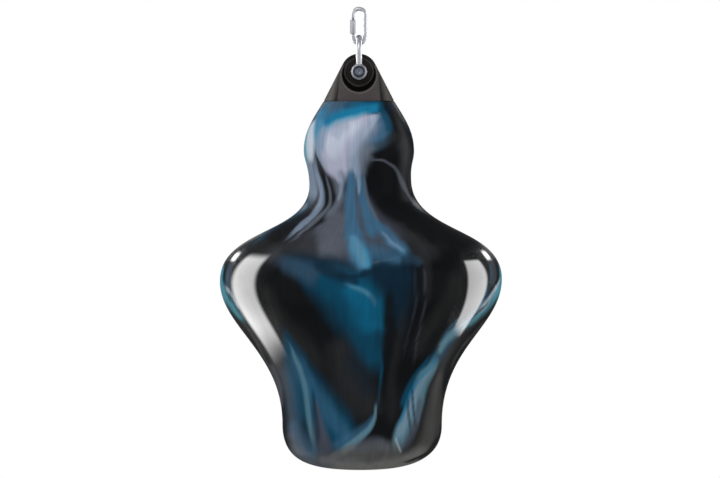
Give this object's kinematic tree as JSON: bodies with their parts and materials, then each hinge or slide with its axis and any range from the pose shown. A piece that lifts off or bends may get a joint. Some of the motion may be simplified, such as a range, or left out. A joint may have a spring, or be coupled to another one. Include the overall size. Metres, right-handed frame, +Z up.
{
  "type": "aqua training bag",
  "caption": "Hanging water-filled training bag with a small head, wide round shoulders and a slim base, hung by a moulded eye cap, a bolted shackle and a quick link.",
  "frame": {"origin": "inside top of the quick link, where a hook or chain takes the load", "axes": "+Z up, against the hang; the nut on the eye faces -Y; the quick link's sleeve is on the -X leg and the filling valve is on the +Y side"},
  "size_m": [0.4314, 0.4314, 0.7077],
  "materials": {
    "zinc_steel": "satin",
    "blue_nylon": "satin",
    "black_moulding": "satin",
    "black_rubber": "matte",
    "marbled_vinyl": "gloss",
    "water": "gloss"
  },
  "bodies": {
    "link": {"link_body": "zinc_steel"},
    "sleeve": {"link_sleeve": "zinc_steel"},
    "shackle": {"shackle_bow": "zinc_steel", "shackle_bolt": "zinc_steel", "shackle_nut": "zinc_steel", "nut_lock_ring": "blue_nylon", "washer_front": "zinc_steel", "washer_back": "zinc_steel", "eye_bush": "zinc_steel"},
    "bag": {"eye_cap": "black_moulding", "bag_shell": "marbled_vinyl", "water_fill": "water", "valve_body": "black_moulding"},
    "seal": {"valve_seal": "black_rubber"},
    "plug": {"valve_plug": "black_moulding"}
  },
  "joints": [
    {"name": "sleeve_slide", "type": "slide", "parent": "link", "child": "sleeve", "axis": [0, 0, 1], "range_m": [0, 0.01]},
    {"name": "shackle_swing", "type": "hinge", "parent": "link", "child": "shackle", "pos_m": [0, 0, -0.0496], "axis": [1, 0, 0], "range_deg": [-70, 70]},
    {"name": "bag_swing", "type": "hinge", "parent": "shackle", "child": "bag", "pos_m": [0, 0, -0.0932], "axis": [0, 1, 0], "range_deg": [-50, 50]},
    {"name": "plug_lift", "type": "slide", "parent": "bag", "child": "seal", "axis": [0, 0.9087, 0.4174], "range_m": [0, 0.012]},
    {"name": "plug_turn", "type": "hinge", "parent": "seal", "child": "plug", "pos_m": [0, 0.07583, -0.17589], "axis": [0, 0.9087, 0.4174], "range_deg": [0, 1440]}
  ],
  "couplings": [
    {"joint": "plug_lift", "follows": "plug_turn", "m_per_rad": 0.00047746}
  ]
}
